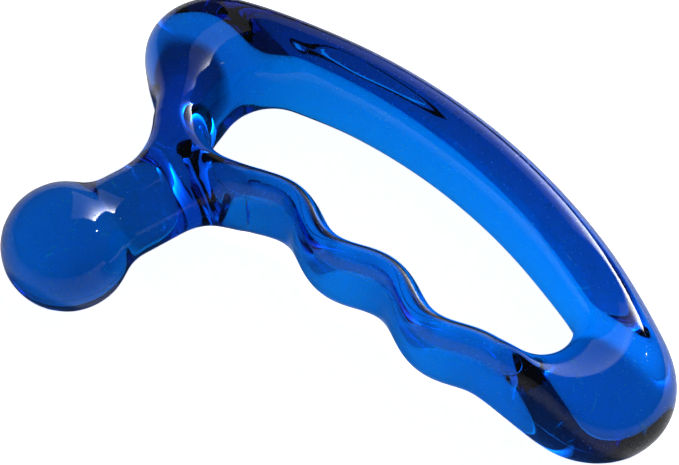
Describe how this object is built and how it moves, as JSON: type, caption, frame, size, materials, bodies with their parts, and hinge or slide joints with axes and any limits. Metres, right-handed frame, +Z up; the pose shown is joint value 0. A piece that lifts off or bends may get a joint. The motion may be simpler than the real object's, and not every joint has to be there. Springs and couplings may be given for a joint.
{
  "type": "hand massage tool",
  "caption": "Hand-held massage tool cast in one piece: a closed loop with a wavy finger grip, and a ball on a short neck at one corner.",
  "frame": {"origin": "middle of the base of the bounding box, with the tool lying on its side", "axes": "+X along the palm side from the knob to the heel, +Y across the loop from the finger grip to the bow, +Z up, across the mould's parting plane"},
  "size_m": [0.1325, 0.0774, 0.0254],
  "materials": {
    "clear_blue_plastic": "polished, translucent"
  },
  "bodies": {
    "root": {"tool_body": "clear_blue_plastic"}
  },
  "joints": []
}
